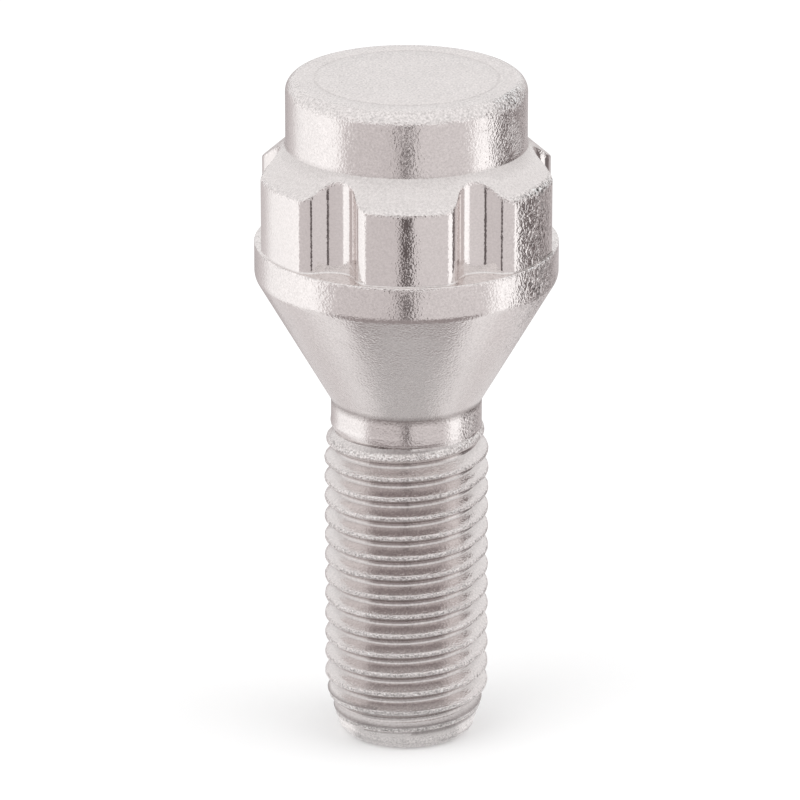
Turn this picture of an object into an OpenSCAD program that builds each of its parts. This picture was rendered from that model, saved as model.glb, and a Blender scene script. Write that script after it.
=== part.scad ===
// Wheel bolt, forged in one piece: a round cap, a grooved drive ring on a flange,
// a conical seat, a plain neck and a rolled right-hand thread.
// Millimetres. The bolt stands on its threaded end: the axis is Z, the end face is at zero
// and the head is at the top. The middle of one lug faces -Y.

/* [Thread] */
// Nominal diameter of the thread
thread_d = 12; // [10:0.5:16]
// Pitch of the thread
thread_pitch = 1.5; // [1:0.25:2]
// How far the rolled crests stay below the nominal radius
crest_drop = 0.12; // [0.02:0.01:0.15]
// How far the lip round the end face stays below the nominal radius
point_drop = 1.27; // [1:0.01:2.5]
// Width of the bevel between that lip and the flat end face
point_bevel = 0.35; // [0.1:0.05:0.5]
// Length over which the first turns rise from the lip to full height
point_len = 3.6; // [1:0.1:5]
// Length over which the last turns sink into the neck
runout_len = 3; // [1.6:0.1:4]
// Direction in which the thread starts at the end face, in degrees from +X
thread_start = 193; // [0:1:360]

/* [Shank] */
// Length from the end face to the foot of the seat
shank_len = 25.5; // [18:0.5:44]
// How far the plain neck stays below the nominal radius of the thread
neck_drop = 0.6; // [0.4:0.05:0.7]
// Length of the plain neck
neck_len = 1.2; // [0.6:0.1:8]

/* [Seat] */
// Whole angle of the conical seat in degrees
seat_angle = 60; // [50:1:90]
// Radius of the edge between the seat and the flange
seat_edge_r = 1.2; // [0.2:0.1:2]

/* [Flange] */
// Diameter of the flange
flange_d = 21.6; // [20:0.1:24]
// Height of the flange, from the end of the seat to the lugs
flange_h = 2.45; // [1.8:0.05:6]

/* [Drive ring] */
// How far the lugs stay inside the edge of the flange
ring_step = 0.17; // [0.1:0.01:0.4]
// Height of the lugs from the flange to the shoulder
ring_h = 5.3; // [3:0.1:12]
// Number of grooves round the ring
groove_count = 6; // [4:1:7]
// How far the floors of the grooves stay outside the wall of the cap
groove_gap = 0.4; // [0.15:0.05:0.8]
// Radius of the hollow of a groove
groove_r = 1.9; // [1.2:0.1:2.2]
// Radius of the edges between the lugs and the grooves
lug_edge_r = 1.55; // [0.4:0.05:1.8]

/* [Shoulder] */
// Height of the sloping shoulder above the lugs
shoulder_h = 1.85; // [1:0.05:4]

/* [Cap] */
// Diameter of the cap
cap_d = 17.1; // [14:0.1:17.4]
// Height of the cap above the shoulder
cap_h = 4.8; // [2.5:0.1:12]
// Height of the rounded rim of the cap
cap_rim_h = 1.2; // [0.8:0.1:2]
// Width of the rounded rim, from the wall of the cap in to its flat top
cap_rim_w = 0.6; // [0.3:0.05:0.8]
// Radius of the hollow corner between the cap and the shoulder
cap_root_r = 0.3; // [0.1:0.05:0.8]

/* [Hidden] */
$fn = 96;

// Radii
crest_r = thread_d / 2 - crest_drop;
root_r = thread_d / 2 - 0.6134 * thread_pitch;
neck_r = thread_d / 2 - neck_drop;
point_r = thread_d / 2 - point_drop;
flange_r = flange_d / 2;
ring_r = flange_r - ring_step;
cap_r = cap_d / 2;
cap_flat_r = cap_r - cap_rim_w;
floor_r = cap_r + groove_gap;

// The round edges of the lugs reach this far past the ring, so that they cross its wall cleanly
lug_play = 0.03;

// Levels on the axis, from the end face up
neck_z = shank_len - neck_len;
seat_z = shank_len;
seat_slope = tan(seat_angle / 2);
seat_top_z = seat_z + (flange_r - neck_r) / seat_slope;
ring_z = seat_top_z + flange_h;
shoulder_z = ring_z + ring_h;
cap_z = shoulder_z + shoulder_h;
top_z = cap_z + cap_h;

// One turn of the thread in section, from root to root: [height in pitches, depth from 0 to 1]
root_flat = 0.25;
flank = (crest_r - root_r) * tan(30) / thread_pitch;
turn = [[0, 0], [root_flat, 0], [root_flat + flank, 1], [1 - flank, 1]];

// The rod is a grid: steps round one turn, and rows that climb round it as helices
steps = 48;
rows = len(turn);
lip_z = 0.4;
first_z = lip_z + 0.1;
turns = floor((neck_z - first_z) / thread_pitch);
last = turns * rows;
// The rod goes up into the neck with a little play, and ends above its last row
core_r = neck_r - 0.04;
plug_z = first_z + (turns + 1) * thread_pitch + 0.2;

function unit(v) = v / norm(v);
function polar(r, a) = [r * cos(a), r * sin(a)];

// Centre of a circle of radius r that touches both lines from corner along u and v
function fillet_centre(corner, u, v, r) =
    let (half = acos(unit(u) * unit(v)) / 2)
    corner + unit(unit(u) + unit(v)) * r / sin(half);

// Distance from the corner to where that circle touches
function fillet_reach(u, v, r) = r / tan(acos(unit(u) * unit(v)) / 2);

// The sliver between a corner and the circle that rounds it, with some overlap behind the corner
module corner_sliver(corner, u, v, r) {
    reach = fillet_reach(u, v, r);
    behind = corner - unit(unit(u) + unit(v)) * 0.2;
    difference() {
        polygon([behind, corner + unit(u) * reach, corner + unit(v) * reach]);
        translate(fillet_centre(corner, u, v, r)) circle(r);
    }
}

// Half section of the head, from the axis out
module head_section() {
    seat_dir = [neck_r - flange_r, seat_z - seat_top_z];
    shoulder_dir = [ring_r - cap_r, shoulder_z - cap_z];
    rim_r = (cap_rim_h * cap_rim_h + cap_rim_w * cap_rim_w) / (2 * cap_rim_w);
    difference() {
        union() {
            polygon([
                [0, neck_z], [neck_r, neck_z], [neck_r, seat_z], [flange_r, seat_top_z],
                [flange_r, ring_z], [ring_r, ring_z], [ring_r, shoulder_z],
                [cap_r, cap_z], [cap_r, top_z - cap_rim_h], [0, top_z - cap_rim_h]
            ]);
            intersection() {
                translate([0, top_z - cap_rim_h - 0.5]) square([cap_r, cap_rim_h + 0.5]);
                translate([cap_r - rim_r, top_z - cap_rim_h]) circle(rim_r);
            }
            translate([0, top_z - cap_rim_h]) square([cap_flat_r, cap_rim_h]);
            corner_sliver([cap_r, cap_z], [0, 1], shoulder_dir, cap_root_r);
        }
        corner_sliver([flange_r, seat_top_z], [0, 1], seat_dir, seat_edge_r);
    }
}

// Plan of one groove along X, with its rounded edges
module groove_plan() {
    hollow = floor_r + groove_r;
    edge = ring_r + lug_play - lug_edge_r;
    a = acos((hollow * hollow + edge * edge - pow(groove_r + lug_edge_r, 2)) / (2 * hollow * edge));
    touch = [hollow, 0] + unit(polar(edge, a) - [hollow, 0]) * groove_r;
    rim = polar(ring_r, a);
    difference() {
        union() {
            translate([hollow, 0]) circle(groove_r);
            polygon([
                [touch.x, -touch.y], [rim.x, -rim.y], [ring_r + 2, -rim.y],
                [ring_r + 2, rim.y], rim, touch
            ]);
        }
        for (side = [-1, 1])
            translate([edge * cos(a), side * edge * sin(a)]) circle(lug_edge_r);
    }
}

module head() {
    difference() {
        rotate_extrude() head_section();
        for (i = [0 : groove_count - 1])
            rotate(i * 360 / groove_count)
                translate([0, 0, ring_z])
                    linear_extrude(top_z - ring_z) groove_plan();
    }
}

// Share of the thread that is formed at height z: it eases in below the neck
function formed_at(z) =
    let (t = min(1, max(0, (neck_z - z) / runout_len)))
    t * t * (3 - 2 * t);

// Radius of the rod at height z, where depth says how far the section is from root to crest
function rod_r(z, depth) =
    let (formed = formed_at(z))
    let (thread = root_r + depth * (crest_r - root_r))
    min(core_r + formed * (thread - core_r), point_r + (crest_r - point_r) * z / point_len);

function ring_point(r, z, i) = [each polar(r, thread_start + 360 * i / steps), z];

function row_point(i, j) =
    let (z = first_z + thread_pitch * (floor(j / rows) + turn[j % rows][0] + i / steps))
    ring_point(rod_r(z, turn[j % rows][1]), z, i);

// Place of a grid point in the list: after a full turn, each row runs on as a higher row
function at(i, j) = i == 0 ? j : i == steps ? j + rows : rows + i * (last + 1) + j;
function foot(i) = rows + steps * (last + 1) + i % steps;
function lip(i) = foot(0) + steps + i % steps;
function head_end(i) = lip(0) + steps + i % steps;

module threaded_rod() {
    points = [
        for (j = [0 : last + rows]) row_point(0, j),
        for (i = [1 : steps - 1], j = [0 : last]) row_point(i, j),
        for (i = [0 : steps - 1]) ring_point(point_r - point_bevel, 0, i),
        for (i = [0 : steps - 1]) ring_point(point_r, lip_z, i),
        for (i = [0 : steps - 1]) ring_point(core_r, plug_z, i)
    ];
    skin = [
        for (i = [0 : steps - 1], j = [0 : last - 1])
            each [[at(i, j), at(i, j + 1), at(i + 1, j + 1)], [at(i, j), at(i + 1, j + 1), at(i + 1, j)]]
    ];
    // Bands between the first and last rows and the flat ends, fanned where the rows meet them
    start_band = [
        for (i = [0 : steps - 1])
            each [[foot(i), lip(i), foot(i + 1)], [lip(i), lip(i + 1), foot(i + 1)]],
        for (i = [0 : steps - 1]) [lip(i), at(i, 0), lip(i + 1)],
        for (i = [0 : steps - 2]) [at(i, 0), at(i + 1, 0), lip(i + 1)],
        for (j = [0 : rows - 1]) [at(steps - 1, 0), at(0, j + 1), at(0, j)],
        [at(steps - 1, 0), at(0, 0), lip(0)]
    ];
    end_band = [
        for (j = [last : last + rows - 1]) [at(0, j), at(0, j + 1), at(1, last)],
        [at(0, last + rows), head_end(0), at(1, last)],
        for (i = [1 : steps - 1]) [at(i, last), head_end(i), at(i + 1, last)],
        for (i = [0 : steps - 1]) [head_end(i), head_end(i + 1), at(i + 1, last)]
    ];
    ends = [
        [for (i = [0 : steps - 1]) foot(i)],
        [for (i = [steps - 1 : -1 : 0]) head_end(i)]
    ];
    polyhedron(points, concat(skin, start_band, end_band, ends));
}

module bolt() {
    color("gainsboro") {
        head();
        threaded_rod();
    }
}

bolt();
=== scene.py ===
# %% [markdown]
# # A wheel bolt in bright zinc
# The CAD model gives the size and the place of everything. This file takes that model as a
# fixed frame and dresses it. The bolt is one forging, so it stays one piece here too: one closed
# skin over the head, the neck and the thread. What Blender adds is the fine form that a CAD
# solid would carry badly, such as the soft edges of a forging and the seam along a rolled
# crest, and then the plating and the light.

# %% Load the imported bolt
import math

import bpy
import numpy as np
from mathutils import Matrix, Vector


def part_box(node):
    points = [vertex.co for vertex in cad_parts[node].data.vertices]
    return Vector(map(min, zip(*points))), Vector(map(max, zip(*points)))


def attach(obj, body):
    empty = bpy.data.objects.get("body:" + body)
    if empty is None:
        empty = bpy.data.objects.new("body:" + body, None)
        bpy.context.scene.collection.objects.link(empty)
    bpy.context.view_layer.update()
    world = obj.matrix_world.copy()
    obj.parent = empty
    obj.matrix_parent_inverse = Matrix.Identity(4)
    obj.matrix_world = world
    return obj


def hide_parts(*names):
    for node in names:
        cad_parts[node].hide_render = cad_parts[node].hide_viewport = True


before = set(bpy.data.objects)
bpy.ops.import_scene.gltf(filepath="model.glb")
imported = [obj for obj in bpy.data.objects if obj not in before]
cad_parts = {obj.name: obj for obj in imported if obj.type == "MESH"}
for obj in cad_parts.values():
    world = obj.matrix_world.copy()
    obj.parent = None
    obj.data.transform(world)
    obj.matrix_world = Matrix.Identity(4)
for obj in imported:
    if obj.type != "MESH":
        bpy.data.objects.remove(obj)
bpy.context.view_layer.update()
bolt_low, bolt_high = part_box("bolt")
MM = 0.001

print("nodes:", sorted(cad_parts), "height in mm:", round(bolt_high.z / MM, 3))

# %% [markdown]
# The driving dimensions are the same as in the CAD model. The height and the flange come from
# the frame, so the levels in between are worked out downwards from the top. All of them are in
# millimetres here, and the mesh is scaled to metres once, when it is made.

# %% Measure the head and the shank
top_z = bolt_high.z / MM
flange_r = (bolt_high.x - bolt_low.x) / 2 / MM

thread_r = 6.0
pitch = 1.5
crest_r = thread_r - 0.12
root_r = thread_r - 0.6134 * pitch
neck_r = thread_r - 0.6
lip_r = thread_r - 1.27
end_r = lip_r - 0.35
ring_r = flange_r - 0.17
cap_r = 8.55
cap_flat_r = cap_r - 0.6

# A little above the CAD model's level, since the rim looks fuller in front
rim_z = top_z - 0.95
cap_z = top_z - 4.8
shoulder_z = cap_z - 1.85
ring_z = shoulder_z - 5.3
seat_top_z = ring_z - 2.45
seat_slope = math.tan(math.radians(30))
seat_z = seat_top_z - (flange_r - neck_r) / seat_slope
neck_z = seat_z - 1.2

print("levels:", [round(z, 3) for z in (neck_z, seat_z, seat_top_z, ring_z, shoulder_z, cap_z)])

# %% [markdown]
# The drive ring is the key to the head. Seen from above, each groove is a round hollow that
# runs over into a round lug edge, so along any direction from the axis the wall has just one
# radius. That makes the whole head a grid: columns go round the axis, rows climb the section,
# and the columns that pass through a groove are simply pushed in.

# %% Plan of the drive ring
COLUMNS = 720
GROOVES = 6
groove_r = 1.9
groove_gap = 0.4
lug_edge_r = 1.55
# The round edges of the lugs reach this far past the ring, so that they cross its wall cleanly
lug_play = 0.03
hollow_r = cap_r + groove_gap + groove_r
edge_r = ring_r + lug_play - lug_edge_r

angle = 2 * np.pi * np.arange(COLUMNS) / COLUMNS
half_space = np.pi / GROOVES
from_groove = np.abs((angle + half_space) % (2 * half_space) - half_space)

edge_angle = math.acos(
    (hollow_r**2 + edge_r**2 - (groove_r + lug_edge_r) ** 2) / (2 * hollow_r * edge_r)
)
towards_edge = np.array([edge_r * math.cos(edge_angle) - hollow_r, edge_r * math.sin(edge_angle)])
touch = np.array([hollow_r, 0]) + towards_edge / np.linalg.norm(towards_edge) * groove_r
touch_angle = math.atan2(touch[1], touch[0])


def circle_side(middle_r, r, turned, side):
    """Radius at which a ray from the axis meets the near (-1) or far (+1) side of a circle."""
    inside = np.maximum(r**2 - (middle_r * np.sin(turned)) ** 2, 0)
    return middle_r * np.cos(turned) + side * np.sqrt(inside)


in_hollow = circle_side(hollow_r, groove_r, from_groove, -1)
on_edge = circle_side(edge_r, lug_edge_r, from_groove - edge_angle, 1)
wall_r = np.where(from_groove < touch_angle, in_hollow, on_edge)
wall_r = np.where(from_groove > edge_angle, ring_r, np.minimum(wall_r, ring_r))

# How obliquely the wall meets the radius: small edge radii are stretched by this along it
most_stretch = 3
wall_slope = (np.roll(wall_r, -1) - np.roll(wall_r, 1)) / (angle[2] - angle[0]) / wall_r
stretch = np.minimum(np.sqrt(1 + wall_slope**2), most_stretch)

print("wall from", round(wall_r.min(), 3), "to", round(wall_r.max(), 3), "mm")

# %% [markdown]
# A forging has no knife edges. Each corner of the section is turned into a short arc, with a
# radius of its own: about a tenth of a millimetre where a die closed, more in the hollows. The
# helper below rounds one corner in all columns at once.

# %% Round a corner of the section


def point(r, z):
    """One corner of the section, for every column."""
    return np.stack([np.broadcast_to(r, (COLUMNS,)), np.broadcast_to(z, (COLUMNS,))], axis=1)


def rounded(before, corner, after, r, rows, oblique=1.0):
    """Rows of an arc of radius r that replaces the corner."""
    scale = np.stack([np.broadcast_to(oblique, (COLUMNS,)), np.ones(COLUMNS)], axis=1)
    u = (before - corner) / scale
    v = (after - corner) / scale
    u /= np.linalg.norm(u, axis=1, keepdims=True)
    v /= np.linalg.norm(v, axis=1, keepdims=True)
    half = np.arccos(np.clip((u * v).sum(1), -1, 1)) / 2
    bisector = (u + v) / np.linalg.norm(u + v, axis=1, keepdims=True)
    centre = bisector * (r / np.sin(half))[:, None]
    first = u * (r / np.tan(half))[:, None] - centre
    last = v * (r / np.tan(half))[:, None] - centre
    sweep = np.pi - 2 * half
    arc = []
    for t in np.linspace(0, 1, rows):
        weight_first = np.sin((1 - t) * sweep) / np.sin(sweep)
        weight_last = np.sin(t * sweep) / np.sin(sweep)
        on_arc = centre + first * weight_first[:, None] + last * weight_last[:, None]
        arc.append(corner + on_arc * scale)
    return arc


wall_top_z = shoulder_z + (ring_r - wall_r) / (ring_r - cap_r) * (cap_z - shoulder_z)
neck_foot = point(neck_r, neck_z)
seat_foot = point(neck_r, seat_z)
seat_top = point(flange_r, seat_top_z)
flange_top = point(flange_r, ring_z)
wall_foot = point(wall_r, ring_z)
wall_top = point(wall_r, wall_top_z)
cap_foot = point(cap_r, cap_z)
rim_foot = point(cap_r, rim_z)

print("grooves reach up to", round(wall_top_z.max(), 3), "mm, the lugs to", round(shoulder_z, 3))

# %% [markdown]
# The section of the head is a list of rows, from the neck up to the top. Each row is one ring
# round the axis and knows its finish. Arcs stand at the corners, and between them a few plain
# rows keep one finish from running into the next.

# %% Section from the neck to the cap
crease_r = 0.3
seat_edge_r = 1.2
flange_edge_r = 0.06
foot_most_r = 0.14
lug_top_r = 0.16
cap_root_r = 0.3
section = []


def add_rows(finish, rows):
    """Adds rows to the section, with the name of the finish they get."""
    section.extend((row, finish) for row in rows)


add_rows("neck", [point(neck_r, neck_z + 0.25), point(neck_r, seat_z - 0.45)])
add_rows("crease", rounded(neck_foot, seat_foot, seat_top, crease_r, 4))
add_rows("seat", [point(neck_r + out, seat_z + out / seat_slope) for out in (0.25, 2.5)])
add_rows("flange", rounded(seat_foot, seat_top, flange_top, seat_edge_r, 9))
add_rows("flange", [point(flange_r, ring_z - 0.3)])
add_rows("edge", rounded(seat_top, flange_top, wall_foot, flange_edge_r, 4))

# The hollow at the foot of the wall is smaller at the lugs, to leave room for the flange's edge
ledge = flange_r - flange_edge_r - wall_r
foot_r = np.minimum(foot_most_r, 0.8 * ledge / stretch)
add_rows("foot", rounded(flange_top, wall_foot, wall_top, foot_r, 7, stretch))
add_rows("lug", [point(wall_r, ring_z + foot_r + 0.06), (wall_foot + wall_top) / 2])
add_rows("lug", [wall_foot + 0.94 * (wall_top - wall_foot)])
add_rows("edge", rounded(wall_foot, wall_top, cap_foot, lug_top_r, 5, stretch))
add_rows("shoulder", [wall_top + share * (cap_foot - wall_top) for share in (0.2, 0.6)])
add_rows("fillet", rounded(wall_top, cap_foot, rim_foot, cap_root_r, 5))
add_rows("cap", [point(cap_r, cap_z + 0.35), (cap_foot + rim_foot) / 2])
add_rows("cap", [point(cap_r, rim_z - 0.2)])

print("rows up to the rim:", len(section))

# %% [markdown]
# The rim of the cap is one arc that leaves the wall smoothly and meets the flat top in a soft
# corner. In the top face is a faint ring that the header die left: a shallow line, a little
# darker than the face round it.

# %% Rim and top of the cap
rim_h = top_z - rim_z
rim_w = cap_r - cap_flat_r
rim_arc_r = (rim_h**2 + rim_w**2) / (2 * rim_w)
# In radians along the arc: where the finish of the rim begins, and what is left for the corner
rim_begin = 0.1
corner_share = 0.08
for lift in np.linspace(0, math.asin(rim_h / rim_arc_r) - corner_share, 10):
    arc_r = cap_r - rim_arc_r * (1 - math.cos(lift))
    arc_z = rim_z + rim_arc_r * math.sin(lift)
    add_rows("rim" if lift > rim_begin else "cap", [point(arc_r, arc_z)])
add_rows("rim", [point(cap_flat_r - 0.03, top_z - 0.012)])
add_rows("top", [point(cap_flat_r - 0.16, top_z)])

ring_mark_depth = 0.02
add_rows("top", [point(6.62, top_z)])
add_rows("ring", [point(r, top_z - ring_mark_depth) for r in (6.54, 6.46)])
add_rows("top", [point(r, top_z) for r in (6.38, 4.4, 2.2)])

print("rows in the section of the head:", len(section))

# %% [markdown]
# Many things on the bolt change gradually: the thread rises out of the neck, film and painted
# shade fade, one side of the head is coarser. Two small helpers describe such a change, one for a
# step and one for a spot.

# %% Gradual change


def fade(value, none_at, full_at):
    """0 at the first level and 1 at the second, straight in between and level beyond."""
    return np.clip((value - none_at) / (full_at - none_at), 0, 1)


def bell(value, middle, width):
    """1 in the middle, and falling smoothly on both sides."""
    return np.exp(-(((value - middle) / width) ** 2))


print("half a width from the middle:", round(float(bell(0.5, 0.0, 1.0)), 2))

# %% [markdown]
# The thread is rolled, not cut. The dies press the roots in smooth, and the metal that they
# push aside rises into crests, which stay rough because no tool touches their tops. Near the
# end face the dies had less metal to move, so the two lips of a crest don't meet and leave fine
# lines. One turn is described here from root to root: height in pitches, and depth from 0 at
# the root to 1 at the crest.

# %% Section of one turn of the thread
TURN = np.array(
    [
        (0.00, 0.09), (0.05, 0.03), (0.125, 0.0), (0.20, 0.03), (0.25, 0.09),
        (0.38, 0.48), (0.495, 0.86), (0.515, 0.94), (0.535, 0.98), (0.57, 1.0),
        (0.61, 1.0), (0.65, 1.0), (0.69, 0.98), (0.715, 0.94), (0.74, 0.86), (0.765, 0.787),
        (0.87, 0.48),
    ]
)
TURN_FINISH = ["root"] * 5 + ["flank"] * 2 + ["lip"] + ["crest"] * 5 + ["lip"] + ["flank"] * 3
SEAM = np.array([0, 0, 0, 0, 0, 0, 0, 0.2, 0.6, 0, 0.9, 0, 0.7, 0.2, 0, 0, 0])
STEPS = 180
lip_z = 0.4
first_z = lip_z + 0.1
point_len = 3.6
runout_len = 3.0
thread_start = math.radians(193)
# The dies bite at a nearly level line, so the roots are deep before the crests are high
bite_below_neck = 0.85
bite_len = 0.35


def taper_radius(z):
    """Radius of the taper that the blank had at its end."""
    return lip_r + (crest_r - lip_r) * z / point_len


def rod_radius(z, depth):
    """Radius of the rod: a taper cuts the first turns, and the last ones ease into the neck."""
    below_neck = fade(z, neck_z, neck_z - runout_len)
    raised = below_neck**2 * (3 - 2 * below_neck)
    bite_z = neck_z - bite_below_neck
    sunk = fade(z, bite_z, bite_z - bite_len)
    from_neck = root_r + depth * (crest_r - root_r) - neck_r
    return np.minimum(neck_r + np.where(from_neck < 0, sunk, raised) * from_neck, taper_radius(z))


print("rows in one turn:", len(TURN), "ridge from", round(root_r, 2), "to", crest_r, "mm")

# %% [markdown]
# Rows that climb with the helix keep the crest crisp, where level rows would cut it into steps.
# At both ends the climbing rows run out of the rod. Their points are then clamped to the end
# ring, and faces that shrink to nothing are left out, which closes the skin with no gaps.

# %% Wind the thread
turns_up = math.ceil((neck_z - first_z) / pitch)
row_count = (turns_up + 3) * len(TURN)
step = np.arange(STEPS + 1)
row = np.arange(row_count + 1)
in_turn = row % len(TURN)
row_h = row // len(TURN) - 2 + TURN[in_turn, 0]
z_grid = first_z + pitch * (row_h[None, :] + step[:, None] / STEPS)
r_grid = rod_radius(z_grid, TURN[in_turn, 1][None, :])
turned = thread_start + 2 * np.pi * step / STEPS

# Points this close to the end ring or the neck run together with it
clamp_reach = 0.03
below = z_grid <= lip_z + clamp_reach
above = z_grid >= neck_z - clamp_reach

print("turns:", turns_up, "grid:", z_grid.shape)

# %% [markdown]
# Three marks of the rolling are laid over the smooth thread. Two level lines show where the dies
# ended below the neck and where the blank's taper begins. The crests get random heights along
# each row, smoothed over neighbouring steps. The seam opens in the last turns, where the crests
# are cut off by the taper.

# %% Lines, rough crests and the seam
LINES = {neck_z - 0.9: 0.06, 1.0: 0.08}
line_width = 0.09
rough_height = 0.010
seam_depth = 0.09

for line_z, line_depth in LINES.items():
    r_grid = r_grid - line_depth * bell(z_grid, line_z, line_width)

rng = np.random.default_rng(7)
along = rng.normal(size=(STEPS * (turns_up + 5), len(TURN)))
along = (np.roll(along, 1, axis=0) + along + np.roll(along, -1, axis=0)) / math.sqrt(3)
rough = along[(row // len(TURN))[None, :] * STEPS + step[:, None], in_turn[None, :]]
on_crest = fade(TURN[in_turn, 1], 0.8, 0.95)[None, :]
proud = fade(z_grid, neck_z - 1.2, neck_z - 2.7)
seam_open = fade(z_grid, 2.6, 1.4)
r_grid = r_grid + rough_height * rough * on_crest * proud
r_grid = r_grid - seam_depth * SEAM[in_turn][None, :] * seam_open

print("radius over the thread:", round(r_grid.min(), 2), "to", round(r_grid.max(), 2), "mm")

# %% [markdown]
# Each zone of the bolt has a finish of its own. The table gives the roughness, how deep the
# grain is, and how far the colour is darkened: a little for a thin dull film, more for painted
# shade in the creases, the roots of the thread and the shade zone. The skin carries these three
# numbers as attributes, so that one zone runs into the next without a line.

# %% Finishes
# The third number is dull film where it is small. In crease, fillet, root and shade it is painted
# shade in hollows and in the dark bands of the thread.
FINISHES = {
    "neck": (0.18, 0.75, 0.0),
    "crease": (0.30, 1.5, 0.65),
    "fillet": (0.25, 1.2, 0.2),
    "foot": (0.14, 0.8, 0.0),
    "seat": (0.28, 1.2, 0.0),
    "flange": (0.15, 1.1, 0.0),
    "edge": (0.14, 3.0, 0.0),
    "lug": (0.07, 0.55, 0.0),
    "groove": (0.06, 0.22, 0.0),
    "shoulder": (0.30, 0.9, 0.0),
    "cap": (0.17, 1.1, 0.0),
    "rim": (0.11, 3.0, 0.0),
    "top": (0.32, 2.4, 0.0),
    "ring": (0.32, 2.4, 0.2),
    "root": (0.20, 0.7, 0.34),
    "flank": (0.20, 0.9, 0.12),
    "shade": (0.22, 1.6, 0.85),
    "lip": (0.34, 4.5, 0.1),
    "crest": (0.34, 6.5, 0.08),
    "end": (0.36, 3.2, 0.0),
}
# Levels where the finish of the thread changes, from the neck down
rolled_z = neck_z - 0.84
shade_end_z = neck_z - 1.7
broad_crest_z = neck_z - 2.4
end_zone_z = 1.1
# How close to a level line its finish holds, and what counts as cut off by the taper
line_reach = 0.06
cut_reach = 0.1


def thread_finish(zone, depth, r, z):
    """Name of the finish at one point of the thread, which has that zone along its turn."""
    if min(abs(z - line_z) for line_z in LINES) < line_reach:
        return "flank"
    if z > rolled_z:
        return "neck"
    if z < end_zone_z:
        return "end"
    # The first crest below the neck is broader than the others
    if z > broad_crest_z and depth > 0.75:
        return "crest"
    cut_off = r > max(taper_radius(z) - cut_reach, root_r + cut_reach)
    # Painted shade: roots and flanks cut off by the taper, and those in the band under the neck,
    # take the shade finish, whose heavy film darkens them.
    if zone in ("root", "flank") and (cut_off or z > shade_end_z):
        return "shade"
    return zone


print("finishes:", ", ".join(FINISHES))

# %% [markdown]
# The skin is built from plain lists of points and faces. These helpers fill the lists, and each
# gives back the number of the first point it made, so that the faces can refer to it.

# %% Points and faces of the skin
points = []
finishes = []
faces = []


def add_point(r, a, z, finish):
    """A point of the skin, with the finish of its zone. Gives its number."""
    points.append((r * math.cos(a) * MM, r * math.sin(a) * MM, z * MM))
    finishes.append(FINISHES[finish])
    return len(points) - 1


def add_ring(radius, z, angles, finish):
    """Points round the axis. Gives the number of the first one."""
    start = len(points)
    radius = np.broadcast_to(radius, angles.shape)
    z = np.broadcast_to(z, angles.shape)
    for a, r, height in zip(angles, radius, z):
        add_point(r, a, height, finish)
    return start


def add_face(corners):
    """A face, without corners that have run together."""
    kept = [c for k, c in enumerate(corners) if c != corners[k - 1]]
    if len(set(kept)) > 2:
        faces.append(kept)


def add_band(low, high, count):
    """Faces between two rings with the same number of points."""
    for c in range(count):
        d = (c + 1) % count
        faces.append([low + c, low + d, high + d, high + c])


coarse = turned[:STEPS]
END_EDGE = [(end_r - 0.10, 0.0), (end_r - 0.02, 0.02), (end_r + 0.06, 0.09), (lip_r - 0.05, 0.33)]
end_rings = [add_ring(r, z, coarse, "end") for r, z in END_EDGE]
end_rings.append(add_ring(lip_r + 0.02, lip_z + clamp_reach, coarse, "end"))
collar = add_ring(neck_r, neck_z, coarse, "neck")

print("rings at the end face:", len(end_rings))

# %% [markdown]
# Every point of the winding gets a number. Points that ran out of the rod take the number of the
# ring they are clamped to. After a full turn each row runs on as a higher row, so the last step
# repeats the numbers of the first one.

# %% Skin of the thread
number = np.zeros(z_grid.shape, int)
for i in range(STEPS):
    for j in range(row_count + 1):
        if below[i, j]:
            number[i, j] = end_rings[-1] + i
        elif above[i, j]:
            number[i, j] = collar + i
        else:
            r, z = r_grid[i, j], z_grid[i, j]
            finish = thread_finish(TURN_FINISH[in_turn[j]], TURN[in_turn[j], 1], r, z)
            number[i, j] = add_point(r, turned[i], z, finish)

number[STEPS, : row_count + 1 - len(TURN)] = number[0, len(TURN) :]
number[STEPS, row_count + 1 - len(TURN) :] = collar

for i in range(STEPS):
    for j in range(row_count):
        add_face([number[i, j], number[i + 1, j], number[i + 1, j + 1], number[i, j + 1]])
for low, high in zip(end_rings, end_rings[1:]):
    add_band(low, high, STEPS)

print("faces of the thread:", len(faces))

# %% [markdown]
# The thread has 180 points round and the head has 720, so a band of small fans joins them at
# the collar below the neck. The end face and the top are closed round a middle point.

# %% Skin of the head, and both ends
head_rings = [add_ring(ring[:, 0], ring[:, 1], angle, finish) for ring, finish in section]
for low, high in zip(head_rings, head_rings[1:]):
    add_band(low, high, COLUMNS)

fine_per_step = COLUMNS // STEPS
half = fine_per_step // 2
first_fine = round(thread_start / (2 * np.pi) * COLUMNS)
for i in range(STEPS):
    fine = [
        head_rings[0] + (first_fine + i * fine_per_step + k) % COLUMNS
        for k in range(fine_per_step + 1)
    ]
    near, far = collar + i, collar + (i + 1) % STEPS
    faces.extend([near, fine[k + 1], fine[k]] for k in range(half))
    faces.append([near, far, fine[half]])
    faces.extend([far, fine[k + 1], fine[k]] for k in range(half, fine_per_step))

end_middle = add_point(0, 0, 0, "end")
top_middle = add_point(0, 0, top_z, "top")
faces.extend([end_rings[0] + (i + 1) % STEPS, end_rings[0] + i, end_middle] for i in range(STEPS))
faces.extend(
    [head_rings[-1] + c, head_rings[-1] + (c + 1) % COLUMNS, top_middle] for c in range(COLUMNS)
)

edge_uses = {}
for face in faces:
    for k, corner in enumerate(face):
        edge = frozenset((face[k - 1], corner))
        edge_uses[edge] = edge_uses.get(edge, 0) + 1
open_edges = sum(uses != 2 for uses in edge_uses.values())
print("skin:", len(points), "points,", len(faces), "faces,", open_edges, "open edges")
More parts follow.
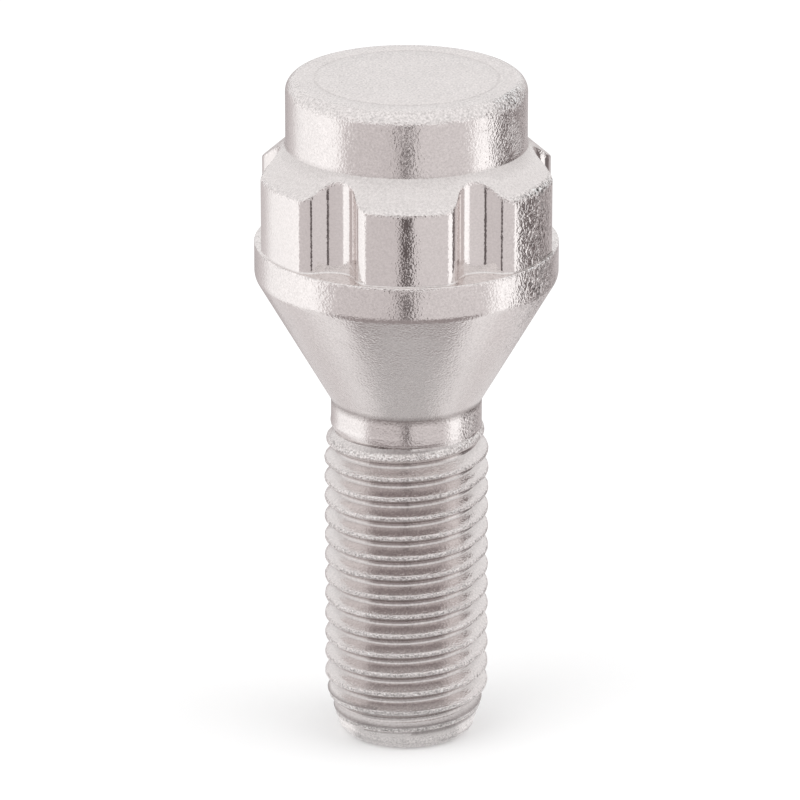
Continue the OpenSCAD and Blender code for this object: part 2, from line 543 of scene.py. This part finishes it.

# %% [markdown]
# The finishes also vary round the bolt. The plating is coarser on one side of the head, to the
# right of the front, where larger pits lie on the lug and the flange. Painted shade lies along
# the feet of the lugs, most on that side. Just below the neck the painted shade stays in front,
# and towards the end face the film and the painted shade fade. The grooves are smoother than
# the faces of the lugs.

# %% Vary the finishes round the bolt
spots = np.array(points) / MM
height = spots[:, 2]
bearing = np.arctan2(spots[:, 0], -spots[:, 1])
side = np.degrees(bearing)
satin, depth, film_and_painted_shade = np.array(finishes).T.copy()
film_and_painted_shade *= fade(height, end_zone_z, end_zone_z + 0.3)

# Among the columns of a ring: those at the foot of a lug, and those in a groove
on_lug = np.flatnonzero(wall_r > ring_r - 0.02)
in_groove = np.flatnonzero(wall_r < ring_r - 0.25)
# The painted shade at the feet is darkest behind on the right. It is gone at this bearing, in
# radians to the left of the front
clear_bearing = 1.05
feet_painted_shade = 0.45
for start, (_, finish) in zip(head_rings, section):
    if finish == "foot":
        feet = start + on_lug
        film_and_painted_shade[feet] = feet_painted_shade * (1 - np.cos(bearing[feet] + clear_bearing))
    elif finish == "lug":
        floor_spots = start + in_groove
        satin[floor_spots], depth[floor_spots], film_and_painted_shade[floor_spots] = FINISHES["groove"]

# All middles and widths are in degrees, to the right of the front
front_width = 30
# Painted shade: in the band just below the neck the heavy film is kept in front only
shaded = (height > shade_end_z) & (height < rolled_z)
film_and_painted_shade[shaded] *= 0.2 + 1.1 * bell(side[shaded], 0, front_width)

coarse_middle, coarse_width = 63, 13
pit_middle, pit_width = 60, 10
# Only the smooth faces show it, and on the cap a fifth of the pits is left
smooth = satin < 0.19
cap_share = 0.2
coarse_side = bell(side, coarse_middle, coarse_width)
coarse_side = coarse_side * fade(height, neck_z - 1.5, neck_z - 0.7)
low_fade = fade(height, seat_top_z - 0.5, seat_top_z)
high_fade = np.maximum(cap_share, fade(height, shoulder_z + 1.2, shoulder_z + 0.2))
pits = bell(side, pit_middle, pit_width) * smooth * low_fade * high_fade
depth *= 1 + (5 - 2 * pits) * coarse_side * smooth
film_and_painted_shade *= 1 + 0.8 * coarse_side
film_and_painted_shade += 0.35 * pits

print("pitted points:", int((pits > 0.5).sum()))

# %% [markdown]
# The mesh carries the finishes as four attributes with one value for each point, which the
# materials read by name.

# %% Make the mesh
mesh = bpy.data.meshes.new("forged_bolt")
mesh.from_pydata(points, [], faces)
mesh.validate()
mesh.shade_smooth()
for name, values in (("satin", satin), ("grain", depth), ("film_and_painted_shade", film_and_painted_shade), ("pits", pits)):
    layer = mesh.attributes.new(name, "FLOAT", "POINT")
    layer.data.foreach_set("value", values)
bolt = bpy.data.objects.new("forged_bolt", mesh)
bpy.context.scene.collection.objects.link(bolt)

triangles = sum(len(f.vertices) - 2 for f in mesh.polygons)
print("mesh:", len(mesh.vertices), "points,", triangles, "triangles")

# %% [markdown]
# Zinc plate is a thin bright layer that follows every pore of the steel below it, so its
# reflections break into fine speckle. The first group makes that speckle from two sizes of
# noise. Its height is centred on zero, so that a zone with deeper grain doesn't stand proud.
# Where the plating is coarse, larger pits lie under the grain and look dark.

# %% Group: plating speckle


def socket(group, name, side, kind="NodeSocketFloat", value=None):
    """Adds a named socket to a node group."""
    made = group.interface.new_socket(name=name, in_out=side, socket_type=kind)
    if value is not None:
        made.default_value = value
    return made


def node(tree, kind, **values):
    """A node, with its settings."""
    made = tree.nodes.new(kind)
    for name, value in values.items():
        setattr(made, name, value)
    return made


def arithmetic(tree, operation, *inputs):
    """A Math node. Its inputs are numbers or the outputs of other nodes."""
    made = node(tree, "ShaderNodeMath", operation=operation)
    for place, value in enumerate(inputs):
        if isinstance(value, (int, float)):
            made.inputs[place].default_value = value
        else:
            tree.links.new(value, made.inputs[place])
    return made.outputs[0]


def noise(tree, scale, detail, vector):
    """A Noise texture at a scale in features per metre."""
    made = node(tree, "ShaderNodeTexNoise")
    made.inputs["Detail"].default_value = detail
    if isinstance(scale, (int, float)):
        made.inputs["Scale"].default_value = scale
    else:
        tree.links.new(scale, made.inputs["Scale"])
    tree.links.new(vector, made.inputs["Vector"])
    return made.outputs["Fac"]


speckle = bpy.data.node_groups.new("plating_speckle", "ShaderNodeTree")
socket(speckle, "Grain per metre", "INPUT", value=6500.0)
socket(speckle, "Peel per metre", "INPUT", value=1100.0)
socket(speckle, "Depth", "INPUT", value=1.0)
socket(speckle, "Pits", "INPUT", value=0.0)
socket(speckle, "Height", "OUTPUT")
socket(speckle, "Tone", "OUTPUT")
given = node(speckle, "NodeGroupInput")
result = node(speckle, "NodeGroupOutput")
place = node(speckle, "ShaderNodeTexCoord").outputs["Object"]
grain = noise(speckle, given.outputs["Grain per metre"], 1.0, place)
peel = noise(speckle, given.outputs["Peel per metre"], 1.0, place)
peel_share = 0.4
both = arithmetic(speckle, "ADD", grain, arithmetic(speckle, "MULTIPLY", peel, peel_share))
centred = arithmetic(speckle, "SUBTRACT", both, 0.5 * (1 + peel_share))

# The pores come in patches
patches_per_metre = 600.0
patches = noise(speckle, patches_per_metre, 1.0, place)
patches = arithmetic(speckle, "MULTIPLY_ADD", patches, 2.4, -0.2)
patchy = arithmetic(speckle, "MULTIPLY", patches, given.outputs["Depth"])
deep = arithmetic(speckle, "MULTIPLY", centred, patchy)

pits_per_metre = 3200.0
pitted = arithmetic(speckle, "SUBTRACT", noise(speckle, pits_per_metre, 1.0, place), 0.5)
pitted = arithmetic(speckle, "MULTIPLY", pitted, given.outputs["Pits"])
pit_depth, pit_tone = 7.0, 2.2
relief = arithmetic(speckle, "MULTIPLY_ADD", pitted, pit_depth, deep)
toned = arithmetic(speckle, "MULTIPLY_ADD", pitted, pit_tone, grain)
speckle.links.new(relief, result.inputs["Height"])
speckle.links.new(toned, result.inputs["Tone"])
print("group:", speckle.name, [s.name for s in speckle.interface.items_tree])

# %% [markdown]
# Handling, oil and the white rust that zinc makes leave a thin dull film, and it is patchy. The
# same darker colour also stands for painted shade in hollows such as the roots of the thread,
# in creases and in the dark bands of the thread. This group mixes the clean metal's colour
# with the dark one.

# %% Group: dull film
film_and_shade_group = bpy.data.node_groups.new("dull_film_and_painted_shade", "ShaderNodeTree")
socket(film_and_shade_group, "Clean", "INPUT", "NodeSocketColor", (0.815, 0.77, 0.758, 1))
socket(film_and_shade_group, "Filmed and shaded", "INPUT", "NodeSocketColor", (0.62, 0.56, 0.55, 1))
socket(film_and_shade_group, "Amount", "INPUT", value=0.0)
socket(film_and_shade_group, "Tone", "INPUT", value=0.5)
socket(film_and_shade_group, "Depth", "INPUT", value=1.0)
socket(film_and_shade_group, "Color", "OUTPUT", "NodeSocketColor")
given = node(film_and_shade_group, "NodeGroupInput")
result = node(film_and_shade_group, "NodeGroupOutput")
place = node(film_and_shade_group, "ShaderNodeTexCoord").outputs["Object"]
film_patches_per_metre = 350.0
patches = noise(film_and_shade_group, film_patches_per_metre, 2.0, place)
patchy = arithmetic(film_and_shade_group, "ADD", arithmetic(film_and_shade_group, "MULTIPLY", patches, 0.6), 0.7)
amount = arithmetic(film_and_shade_group, "MULTIPLY", given.outputs["Amount"], patchy)
share = node(film_and_shade_group, "ShaderNodeClamp")
film_and_shade_group.links.new(amount, share.inputs["Value"])
blend = node(film_and_shade_group, "ShaderNodeMix", data_type="RGBA")
film_and_shade_group.links.new(share.outputs["Result"], blend.inputs["Factor"])
film_and_shade_group.links.new(given.outputs["Clean"], blend.inputs["A"])
film_and_shade_group.links.new(given.outputs["Filmed and shaded"], blend.inputs["B"])

# The speckle shows in the tone too, and most where the grain is deepest
contrast = arithmetic(film_and_shade_group, "MULTIPLY_ADD", given.outputs["Depth"], 0.24, 0.20)
uneven = arithmetic(film_and_shade_group, "SUBTRACT", given.outputs["Tone"], 0.5)
flecks = arithmetic(film_and_shade_group, "MULTIPLY_ADD", uneven, contrast, 1.0)
flecked = node(film_and_shade_group, "ShaderNodeVectorMath", operation="SCALE")
film_and_shade_group.links.new(blend.outputs["Result"], flecked.inputs[0])
film_and_shade_group.links.new(flecks, flecked.inputs["Scale"])
film_and_shade_group.links.new(flecked.outputs["Vector"], result.inputs["Color"])
print("group:", film_and_shade_group.name, [s.name for s in film_and_shade_group.interface.items_tree])

# %% [markdown]
# Two materials use the groups: one for the forged head and neck, and one for the rolled thread,
# whose dark tone is darker, for the painted shade between its turns. The grain is the same in
# both, so that they meet without a line.

# %% Materials


def zinc_material(name, filmed_and_shaded):
    """Zinc plate with roughness, grain, film and painted shade, and pits from the skin's
    attributes.
    """
    made = bpy.data.materials.new(name)
    made.use_nodes = True
    tree = made.node_tree
    plate = tree.nodes["Principled BSDF"]
    plate.inputs["Metallic"].default_value = 1.0
    zone = {
        name: node(tree, "ShaderNodeAttribute", attribute_name=name).outputs["Fac"]
        for name in ("satin", "grain", "film_and_painted_shade", "pits")
    }
    fine = node(tree, "ShaderNodeGroup", node_tree=speckle)
    tree.links.new(zone["grain"], fine.inputs["Depth"])
    tree.links.new(zone["pits"], fine.inputs["Pits"])

    dull = node(tree, "ShaderNodeGroup", node_tree=film_and_shade_group)
    dull.inputs["Filmed and shaded"].default_value = filmed_and_shaded
    tree.links.new(zone["film_and_painted_shade"], dull.inputs["Amount"])
    tree.links.new(fine.outputs["Tone"], dull.inputs["Tone"])
    tree.links.new(zone["grain"], dull.inputs["Depth"])
    tree.links.new(dull.outputs["Color"], plate.inputs["Base Color"])

    uneven = arithmetic(tree, "MULTIPLY_ADD", fine.outputs["Tone"], 0.16, -0.08)
    tree.links.new(arithmetic(tree, "ADD", zone["satin"], uneven), plate.inputs["Roughness"])

    bump = node(tree, "ShaderNodeBump")
    bump.inputs["Strength"].default_value = 1.0
    bump.inputs["Distance"].default_value = 0.02 * MM
    tree.links.new(fine.outputs["Height"], bump.inputs["Height"])
    tree.links.new(bump.outputs["Normal"], plate.inputs["Normal"])
    return made


# The dark tones stand for dull film and painted shade; the thread's is darker still
mesh.materials.append(zinc_material("forged_zinc", (0.44, 0.40, 0.39, 1)))
mesh.materials.append(zinc_material("rolled_zinc", (0.36, 0.325, 0.32, 1)))
for face in mesh.polygons:
    face.material_index = 1 if face.center.z < rolled_z * MM else 0

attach(bolt, "root")
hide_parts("bolt")
print("materials:", [m.name for m in mesh.materials], "on", bolt.name)

# %% [markdown]
# Polished metal shows its surroundings more than itself. The bolt's upright walls are seen from
# 20 degrees above, so they mirror the table around it. The table is therefore the most
# important light in the picture: rays from the metal find pale and dark sectors on it, as they
# would between reflector cards, while the camera sees plain white with the bolt's shadow.

# %% Floor
floor_mesh = bpy.data.meshes.new("floor")
reach = 3.0
floor_mesh.from_pydata(
    [(-reach, -reach, 0), (reach, -reach, 0), (reach, reach, 0), (-reach, reach, 0)],
    [],
    [(0, 1, 2, 3)],
)
floor = bpy.data.objects.new("floor", floor_mesh)
bpy.context.scene.collection.objects.link(floor)

table = bpy.data.materials.new("white_table")
table.use_nodes = True
tree = table.node_tree
tree.nodes.clear()
paint = node(tree, "ShaderNodeBsdfDiffuse")
paint.inputs["Color"].default_value = (0.95, 0.95, 0.95, 1)
cards = node(tree, "ShaderNodeEmission")
rays = node(tree, "ShaderNodeLightPath")
mixed = node(tree, "ShaderNodeMixShader")
out = node(tree, "ShaderNodeOutputMaterial")
tree.links.new(rays.outputs["Is Glossy Ray"], mixed.inputs["Fac"])
tree.links.new(paint.outputs[0], mixed.inputs[1])
tree.links.new(cards.outputs[0], mixed.inputs[2])
tree.links.new(mixed.outputs[0], out.inputs["Surface"])
floor_mesh.materials.append(table)
print("floor:", 2 * reach, "m wide, material", table.name)

# %% [markdown]
# A tone on the table depends on two measures: the distance from the bolt, and the bearing round
# it. A Color Ramp turns each measure into greys, and the darker a grey is, the warmer it gets,
# as on the photographed set.

# %% Measure the table round the bolt
place = node(tree, "ShaderNodeTexCoord").outputs["Object"]
split = node(tree, "ShaderNodeSeparateXYZ")
tree.links.new(place, split.inputs[0])
# Bearing from the bolt: 0.5 is towards -Y, less is to the left and more to the right
towards_front = arithmetic(tree, "MULTIPLY", split.outputs["Y"], -1.0)
round_bolt = arithmetic(tree, "ARCTAN2", split.outputs["X"], towards_front)
round_bolt = arithmetic(tree, "MULTIPLY_ADD", round_bolt, 0.5 / math.pi, 0.5)
spread = node(tree, "ShaderNodeVectorMath", operation="LENGTH")
tree.links.new(place, spread.inputs[0])
distance = spread.outputs["Value"]
WARMTH = 0.165


def tones(stops, factor):
    """A Color Ramp with a warm grey at each stop: [(position from 0 to 1, brightness)]."""
    ramp = node(tree, "ShaderNodeValToRGB")
    tree.links.new(factor, ramp.inputs["Fac"])
    while len(ramp.color_ramp.elements) < len(stops):
        ramp.color_ramp.elements.new(0.5)
    for element, (position, level) in zip(ramp.color_ramp.elements, stops):
        warm = min(1.0, 1 - WARMTH * (1 - level))
        element.position = position
        element.color = (level, level * warm, level * warm, 1)
    return ramp.outputs["Color"]


def tones_round(stops):
    """Tones by the bearing from the front, in degrees."""
    return tones([(degrees / 360 + 0.5, level) for degrees, level in stops], round_bolt)


def blended(first, second, start, end):
    """The first tone up to one distance, the second from another on, smooth between."""
    ease = node(tree, "ShaderNodeMapRange", interpolation_type="SMOOTHSTEP")
    ease.inputs["From Min"].default_value = start
    ease.inputs["From Max"].default_value = end
    tree.links.new(distance, ease.inputs["Value"])
    mix = node(tree, "ShaderNodeMix", data_type="RGBA")
    tree.links.new(ease.outputs["Result"], mix.inputs["Factor"])
    tree.links.new(first, mix.inputs["A"])
    tree.links.new(second, mix.inputs["B"])
    return mix.outputs["Result"]


print("warmth of a black tone:", WARMTH)

# %% [markdown]
# The table has three rings of tones. Close in it is bright, and a little darker in front.
# Further out, up to about 50 mm, the front lies in deep shade, and the cards on both sides light
# up the rest. Beyond that stand the sectors that draw the stripes on the head.

# %% Tones of the table
# Bearing in degrees from the front, and how bright the table is there
SECTORS = [
    (-180, 0.60), (-160, 0.52), (-135, 0.72), (-121, 1.08), (-66, 1.20), (-60, 0.71), (-5, 0.68),
    (-3.3, 0.13), (3.3, 0.13), (5, 0.76), (63, 0.77), (69, 1.24), (91, 1.24), (95, 0.19),
    (122, 0.21), (131, 0.58), (180, 0.60),
]
SIDES = [
    (-180, 0.85), (-140, 0.80), (-116, 0.76), (-104, 0.78), (-94, 0.92), (-66, 0.92),
    (-54, 0.365), (54, 0.365), (66, 0.92), (92, 0.92), (102, 0.75), (118, 0.77), (130, 0.83),
    (180, 0.85),
]
# Distance in metres, and brightness
NEAR = [(0.0, 1.08), (0.007, 1.08), (0.010, 0.93), (0.025, 0.93)]
near_reach = 0.1

far_tone = tones_round(SECTORS)
side_tone = tones_round(SIDES)
near_stops = [(d / near_reach, level) for d, level in NEAR]
near_tone = tones(near_stops, arithmetic(tree, "DIVIDE", distance, near_reach))

# Close in, the difference between the sides is softer
softened = arithmetic(tree, "POWER", side_tone, 0.4)
close_tone = node(tree, "ShaderNodeVectorMath", operation="SCALE")
tree.links.new(near_tone, close_tone.inputs[0])
tree.links.new(softened, close_tone.inputs["Scale"])
shade_tone = blended(close_tone.outputs["Vector"], side_tone, 0.015, 0.025)
tree.links.new(blended(shade_tone, far_tone, 0.050, 0.063), cards.inputs["Color"])
print("table:", len(SECTORS), "tones round the bolt")

# %% [markdown]
# The sky of the set is a plain pale tent, white to the camera. Two soft lamps high at the sides
# add the contact shadow and a little shape.

# %% World and lamps
world = bpy.data.worlds.new("light_tent")
bpy.context.scene.world = world
world.use_nodes = True
tent = world.node_tree
sky = tent.nodes["Background"]
sky.inputs["Color"].default_value = (1.0, 1.0, 1.0, 1)
rays = node(tent, "ShaderNodeLightPath")
# Brightness of the tent for all but the camera, which sees 1
plain = 0.93
strength = arithmetic(tent, "MULTIPLY_ADD", rays.outputs["Is Camera Ray"], 1 - plain, plain)
tent.links.new(strength, sky.inputs["Strength"])


def soft_lamp(name, place, size, watts):
    """A square area lamp that points at the middle of the bolt."""
    data = bpy.data.lights.new(name, "AREA")
    data.size = size
    data.energy = watts
    lamp = bpy.data.objects.new(name, data)
    lamp.location = place
    aim = (bolt_low + bolt_high) / 2 - lamp.location
    lamp.rotation_mode = "QUATERNION"
    lamp.rotation_quaternion = aim.to_track_quat("-Z", "Y")
    # The metal mirrors the tent and the table, and not the lamp's square
    lamp.visible_glossy = False
    bpy.context.scene.collection.objects.link(lamp)
    return lamp


lamps = [
    soft_lamp("key_lamp", (-0.35, -0.25, 0.45), 0.5, 1.0),
    soft_lamp("fill_lamp", (0.4, -0.1, 0.4), 0.5, 0.8),
]
print("lamps:", [lamp.name for lamp in lamps])

# %% [markdown]
# The camera stands where the photographer's lens did: 425 mm from the axis, 180 mm above the
# table and looking down 20 degrees. The narrow lens keeps the perspective as flat as the
# picture's.

# %% Camera
look_down = 20.06
camera_data = bpy.data.cameras.new("camera")
camera_data.sensor_width = 36
camera_data.lens = 284.4
camera_data.clip_start = 0.01
camera_data.clip_end = 10
camera = bpy.data.objects.new("camera", camera_data)
camera.location = (-0.00046, -0.4246, 0.1802)
camera.rotation_euler = (math.radians(90 - look_down), 0, 0)
bpy.context.scene.collection.objects.link(camera)
bpy.context.scene.camera = camera
bpy.context.scene.view_settings.view_transform = "Standard"
print("camera at", tuple(camera.location))
